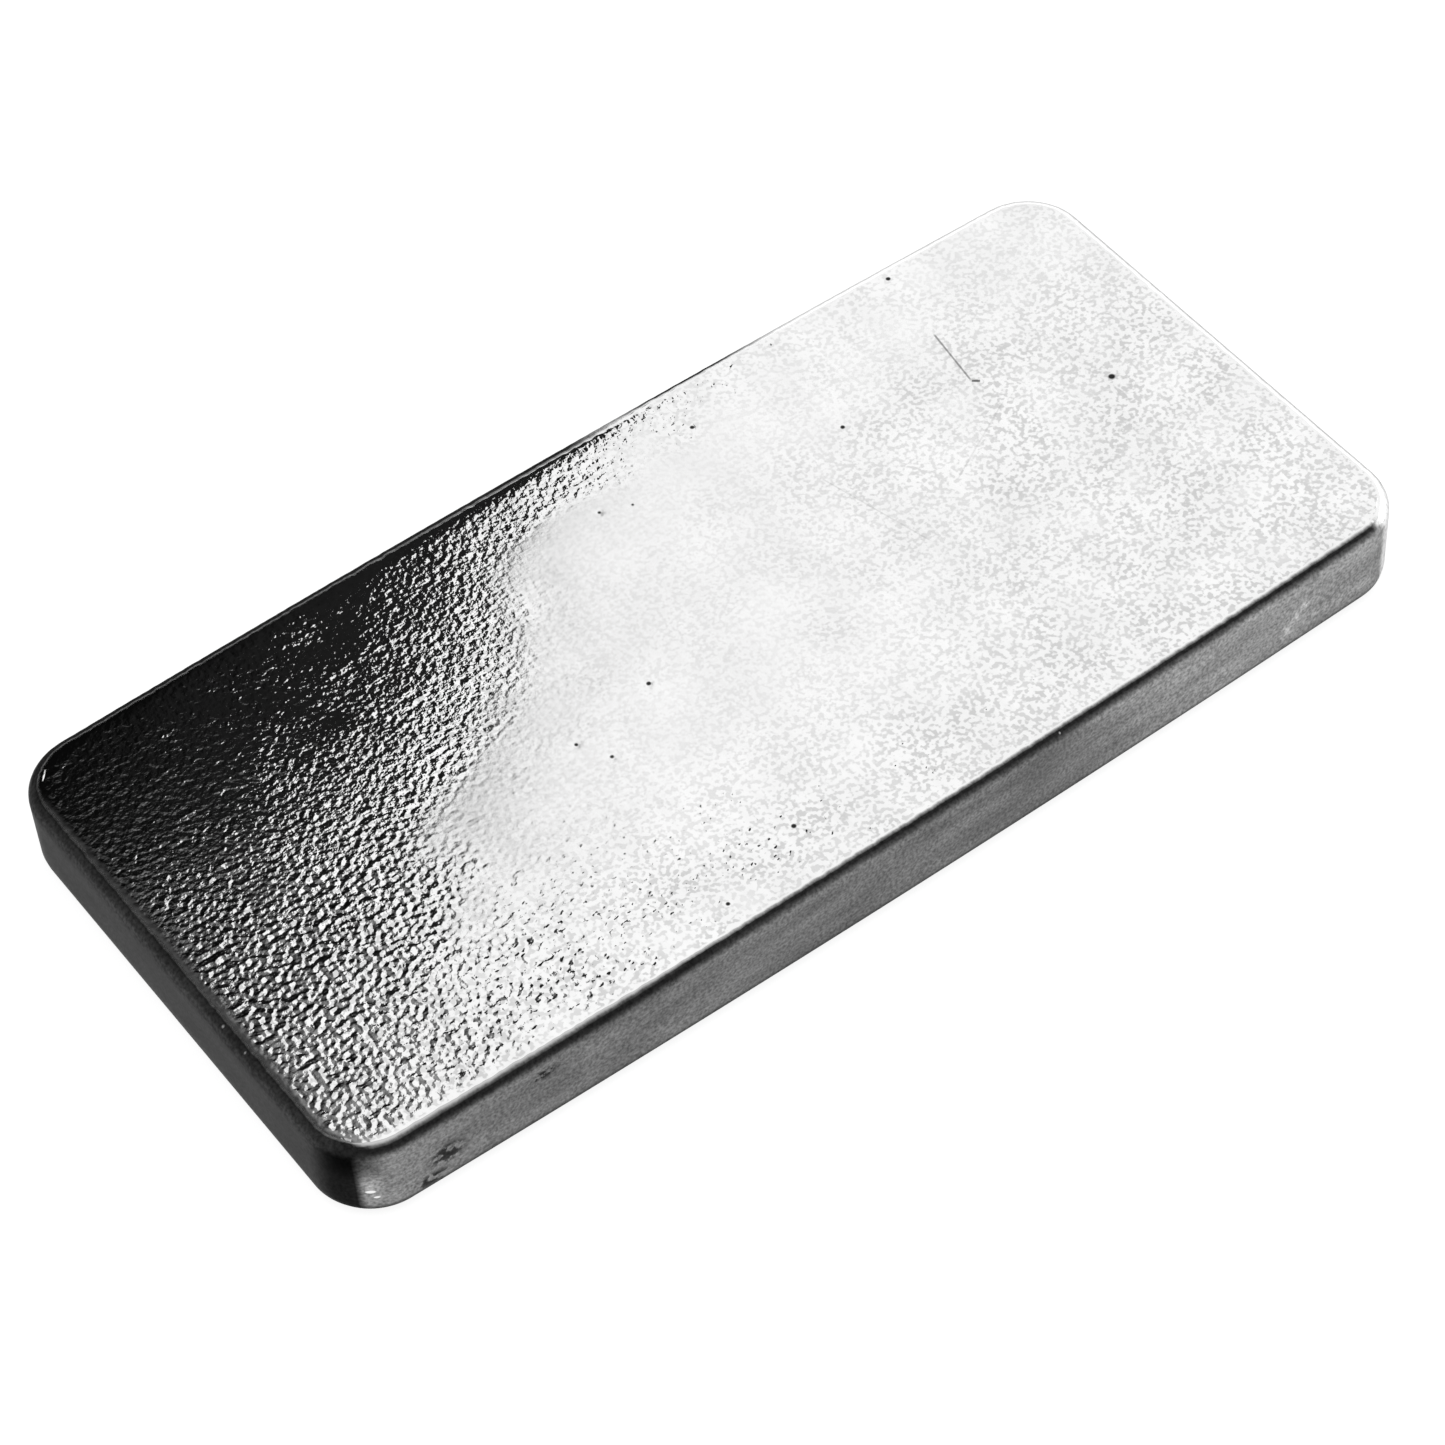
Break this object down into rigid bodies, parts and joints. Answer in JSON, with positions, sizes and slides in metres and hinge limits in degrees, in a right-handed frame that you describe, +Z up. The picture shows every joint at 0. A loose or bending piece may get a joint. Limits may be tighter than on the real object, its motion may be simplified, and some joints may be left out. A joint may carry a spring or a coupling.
{
  "type": "metal ingot",
  "caption": "Flat cast silver-coloured metal ingot with bowed long sides, rounded corners and edges, smooth sides and a fine grained top face, lying on its flat base.",
  "frame": {"origin": "centre of the flat base that the bar lies on", "axes": "+X along the length, +Y across the width, +Z up through the thickness to the grained top face"},
  "size_m": [0.0918, 0.044, 0.0075],
  "materials": {
    "silver": "cast silver, satin, with a fine grain on the top face"
  },
  "bodies": {
    "root": {"ingot": "silver"}
  },
  "joints": []
}
